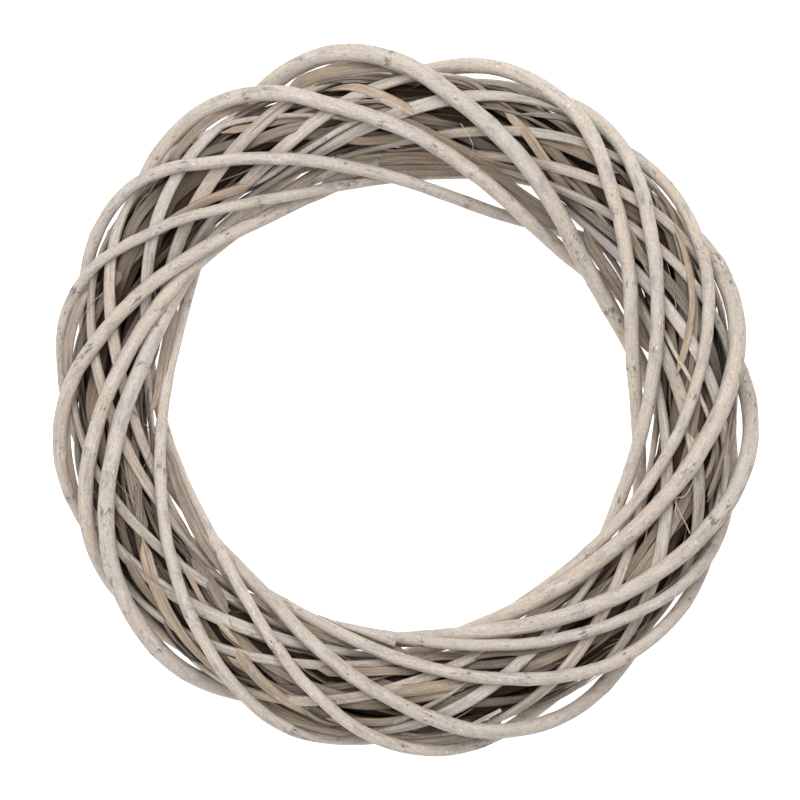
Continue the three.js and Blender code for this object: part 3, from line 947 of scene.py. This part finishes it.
fibres = []
for number in range(FIBRES):
    share = np.linspace(0, 1, FIBRE_POINTS)
    first_lay = draw.random()
    first_azimuth = draw.uniform(0, 360)
    long = draw.uniform(*FIBRE_TRAVEL)
    slant = draw.uniform(-FIBRE_SLANT, FIBRE_SLANT)
    lay = first_lay + slant * share + draw.uniform(-FIBRE_CURVE, FIBRE_CURVE) * share**2
    azimuth = first_azimuth + long * share
    ends = surface_height(azimuth[[0, -1]], lay[[0, -1]])
    arch = draw.uniform(*FIBRE_ARCH) * MM
    height = ends[0] + (ends[1] - ends[0]) * share + arch * np.sin(math.pi * share)
    thick = draw.uniform(*FIBRE_HALF_THICKNESS) * MM * (1 - FIBRE_NARROWING * share)
    line = route(azimuth, lay, height, thick, thick)
    line.update(tint=draw.uniform(0, 0.9), shade=draw.uniform(0.8, 1.15), number=draw.uniform(0, 90))
    fibres.append(line)
piece = sweep_canes(
    "loose_fibres", fibres, fibre_finish,
    sides=5, squareness=1.0, wrinkle=0.0, swelling=0.0,
)

# Strips laid along the hole's edge and the rim under the outer canes, split from the same rattan, which
# turn their broad side to the front and tuck their ends in. Each row gives the azimuths and heights that
# a strip passes, its lay, half width, tint and shade.
EDGE_STRIPS = (
    ((154, 161, 168, 176, 184), (26, 26.1, 25.4, 24.5, 22.8), 0.46, 2.7, 0.5, 1.0),
    ((185, 195, 204, 213, 222, 231), (26.6, 26.3, 26.5, 26, 25.5, 23.5), 0.46, 3.1, 0.7, 0.92),
    ((224, 233, 242, 251, 260, 268, 275), (23.5, 25, 24.7, 24.7, 24.2, 24, 22), 0.46, 2.4, 0.3, 0.8),
    ((295, 301, 308, 314, 321), (19.5, 22.8, 23.2, 22.5, 19.5), 0.46, 2.4, 0.3, 0.6),
    ((8, 18, 28, 38, 47), (21.5, 24.2, 25, 24.7, 22), 0.46, 3.0, 0.3, 0.62),
    ((74, 82, 90, 98, 107), (20, 22.6, 23.6, 23.5, 21), 0.466, 3.2, 0.2, 0.72),
    ((70, 79, 88, 97, 106), (23, 27, 28.6, 28.4, 26), 0.477, 2.8, 0.5, 0.66),
    ((76, 86, 96, 106), (27.5, 30.2, 31, 29), 0.486, 1.6, 0.3, 0.8),
    ((46, 52, 58, 66, 76), (28.6, 30.4, 30.4, 28, 23), 0.47, 2.4, 0.3, 0.66),
    ((48, 54, 61, 69, 79), (24.5, 26.6, 26.2, 23.6, 20), 0.455, 2.2, 0.6, 0.75),
    ((87, 94, 100, 106, 114), (21.4, 23.4, 24.2, 23.8, 20), 0.05, 3.2, 0.3, 0.85),
    ((86, 92, 97, 102, 107), (24.8, 27.4, 27.9, 26.8, 24.1), 0.05, 1.1, 0.7, 0.95),
    ((115, 121, 126, 131, 136), (22, 23.9, 23.4, 20.6, 17.4), 0.05, 2.6, 0.4, 0.8),
    ((157, 163, 168, 173, 180), (18.6, 22.2, 23.5, 23.2, 20.5), 0.05, 2.7, 0.8, 0.95),
    ((176, 184, 192, 200, 207), (20.9, 22.7, 23.5, 23.3, 21.2), 0.05, 1.4, 0.2, 0.75),
    ((234, 241, 248, 255, 262), (17, 18.8, 19, 18.8, 17), 0.05, 2.2, 0.3, 0.75),
    ((242, 248, 253, 258, 264), (20.2, 22, 22.2, 22, 22.2), 0.05, 1.7, 0.3, 0.75),
    ((260, 268, 275, 282, 290), (21.7, 23.5, 23.8, 23.3, 21.2), 0.05, 2.1, 0.5, 0.82),
)
EDGE_POINTS = 80
EDGE_ROLL = 1.2
EDGE_TUCKED_IN = 5.0  # mm
EDGE_WAVER = 0.006  # turns of lay
EDGE_NARROWEST = 0.08


def passing(places, count):
    """Evenly spaced values on a smooth course through these ones."""
    ends = [2 * places[0] - places[1], *places, 2 * places[-1] - places[-2]]
    spans = len(places) - 1
    share = np.linspace(0, spans - 1e-9, count)
    first = share.astype(int)
    near = [np.array(ends)[first + step] for step in range(4)]
    return between(*near, share - first)


lines = []
for azimuths, heights, lay, half_width, tint, shade in EDGE_STRIPS:
    azimuth, height = (passing(values, EDGE_POINTS) for values in (azimuths, heights))
    share = np.linspace(0, 1, EDGE_POINTS)
    from_ends = away_from_ends(share, 0.2)
    taper = EDGE_NARROWEST + (1 - EDGE_NARROWEST) * from_ends
    height = height - (1 - from_ends) * EDGE_TUCKED_IN
    roll = -EDGE_ROLL * math.copysign(1, math.cos(TURN * lay))
    lays = lay + EDGE_WAVER * np.sin(TURN * share + 9 * tint)
    line = route(azimuth, lays, height * MM, half_width * MM * taper, 0.6 * MM * taper, roll=roll)
    line.update(tint=tint, shade=shade, number=draw.uniform(0, 90))
    lines.append(line)
piece = sweep_canes(
    "edge_strips", lines, fibre_finish,
    sides=14, squareness=0.65, wrinkle=0.35 * MM, swelling=0.35 * MM,
)

# Cut and torn ends that show: the thin tip of a cane along the hole's lower edge, and a frayed strip and
# a cane's grey stub at its upper edge, cut with shears and caught under the outer canes. Each row gives
# the azimuths, lays, heights and half thicknesses that it passes, its tint and its shade.
CUT_ENDS = (
    ((247.9, 256.8, 262.3, 268), (0.487, 0.48, 0.47, 0.45),
     (32, 30.9, 29.6, 27.3), (0.4, 1.3, 1.5, 1.6), 0.4, 1.0),
    ((110.2, 106, 101, 96), (0.48, 0.478, 0.475, 0.47),
     (27.6, 27.6, 27.4, 25), (2.4, 2.9, 2.9, 2.6), 1.0, 0.5),
    ((115.3, 112, 108, 103), (0.477, 0.472, 0.463, 0.45),
     (27.4, 27, 26, 23.5), (0.3, 1.5, 2.0, 2.2), 0.2, 0.72),
)
CUT_END_POINTS = 40

lines = []
for azimuths, lays, heights, radii, tint, shade in CUT_ENDS:
    passed = (passing(values, CUT_END_POINTS) for values in (azimuths, lays, heights, radii))
    azimuth, lay, height, radius = passed
    line = route(azimuth, lay, height * MM, radius * MM, radius * MM)
    line.update(tint=tint, shade=shade, number=draw.uniform(0, 90))
    lines.append(line)
piece = sweep_canes(
    "cut_ends", lines, bark_finish,
    sides=14, squareness=0.9, wrinkle=0.3 * MM, swelling=0.3 * MM,
)

# A stub of split cane at the lower left, which the knife ridged across on its flat side when it was cut.
# It lies in a gap between two outer canes.
STUB_POINTS = 120
STUB_AZIMUTHS = (220.5, 9.3)  # where it starts, and how far it goes
STUB_LAYS = (0.392, -0.058)
STUB_HEIGHT = 18.3 * MM
STUB_HALF_WIDTH = 2.9 * MM
STUB_HALF_DEPTH = 0.7  # mm between the ridges
STUB_RIDGES = 11
STUB_RIDGE_HEIGHT = 0.22  # mm

share = np.linspace(0, 1, STUB_POINTS)
azimuth = STUB_AZIMUTHS[0] + STUB_AZIMUTHS[1] * share
lay = STUB_LAYS[0] + STUB_LAYS[1] * share
ridges = STUB_RIDGE_HEIGHT * np.abs(np.sin(math.pi * share * STUB_RIDGES))
line = route(azimuth, lay, STUB_HEIGHT, STUB_HALF_WIDTH, (STUB_HALF_DEPTH + ridges) * MM, roll=0.1)
# The stub is painted lighter on its ridges' tops and darker in the grooves between them: painted light and
# painted shade.
line.update(tint=1.0, shade=0.55 + 0.5 * ridges / STUB_RIDGE_HEIGHT, number=31)
piece = sweep_canes(
    "ridged_stub", [line], fibre_finish,
    sides=14, squareness=0.65, wrinkle=0.1 * MM, swelling=0.1 * MM,
)

# Shreds of torn bark that curl up over the front at the lower right and the top. They are still held by
# one end. Each row gives the azimuths, lays and heights that a shred passes, and its half width in mm.
SHREDS = (
    ((345.3, 342, 340.6, 338.1, 335.6), (0.232, 0.247, 0.275, 0.237, 0.18), (21, 23, 24, 24, 22), 0.26),
    ((78.6, 75.2, 74.9, 75.8), (0.28, 0.34, 0.39, 0.45), (22, 24, 24, 21), 0.14),
    ((341, 338.6, 336.6), (0.27, 0.262, 0.235), (22, 22.6, 21), 0.2),
)
SHRED_POINTS = 30
SHRED_FLATNESS = 0.6

lines = []
for azimuths, lays, heights, thick in SHREDS:
    azimuth, lay, height = (passing(values, SHRED_POINTS) for values in (azimuths, lays, heights))
    line = route(azimuth, lay, height * MM, thick * MM, SHRED_FLATNESS * thick * MM)
    line.update(tint=0.9, shade=1.05, number=draw.uniform(0, 90))
    lines.append(line)
piece = sweep_canes(
    "torn_shreds", lines, bark_finish,
    sides=6, squareness=1.0, wrinkle=0.1 * MM, swelling=0.1 * MM,
)

# The camera looks straight down on the wreath as it lies on a pale table, under a large soft light
# that stands towards the wreath's top.
PICTURE_WIDTH = 394.4 * MM
PICTURE_MIDDLE = (ring_middle[0] - 1.97 * MM, ring_middle[1] + 1.97 * MM)
CAMERA_HEIGHT = 2.4
SENSOR_WIDTH = 36  # mm
TABLE_SIZE = 6.0

bpy.ops.mesh.primitive_plane_add(size=TABLE_SIZE)
table = bpy.context.object
table.name = "table"
pale = bpy.data.materials.new("pale_table")
pale.use_nodes = True
paint = pale.node_tree.nodes["Principled BSDF"]
mottle = Wire(pale.node_tree).node("ShaderNodeTexNoise", {}, {"Scale": 3.0, "Detail": 2.0})
pale.node_tree.links.new((0.86 + mottle * 0.02).socket, paint.inputs["Base Color"])
paint.inputs["Roughness"].default_value = 0.9
paint.inputs["Emission Color"].default_value = (1, 1, 1, 1)
paint.inputs["Emission Strength"].default_value = 0.8
table.data.materials.append(pale)

world = bpy.data.worlds.new("studio")
bpy.context.scene.world = world
world.use_nodes = True
world.node_tree.nodes["Background"].inputs["Color"].default_value = (1, 1, 1, 1)
world.node_tree.nodes["Background"].inputs["Strength"].default_value = 0.22

for name, place, size, power in (
    ("key", (0.1, 0.65, 1.4), 1.4, 23.8),
    ("fill", (-0.8, -0.5, 1.45), 1.5, 11.6),
):
    lamp = bpy.data.lights.new(name, "AREA")
    lamp.size = size
    lamp.energy = power
    holder = bpy.data.objects.new(name, lamp)
    bpy.context.scene.collection.objects.link(holder)
    holder.location = place
    holder.rotation_euler = (-holder.location).to_track_quat("-Z", "Y").to_euler()

lens = bpy.data.cameras.new("camera")
lens.sensor_width = SENSOR_WIDTH
lens.lens = SENSOR_WIDTH * (CAMERA_HEIGHT - ring_middle[2]) / PICTURE_WIDTH
camera = bpy.data.objects.new("camera", lens)
bpy.context.scene.collection.objects.link(camera)
camera.location = (*PICTURE_MIDDLE, CAMERA_HEIGHT)
bpy.context.scene.camera = camera
bpy.context.scene.view_settings.view_transform = "Standard"
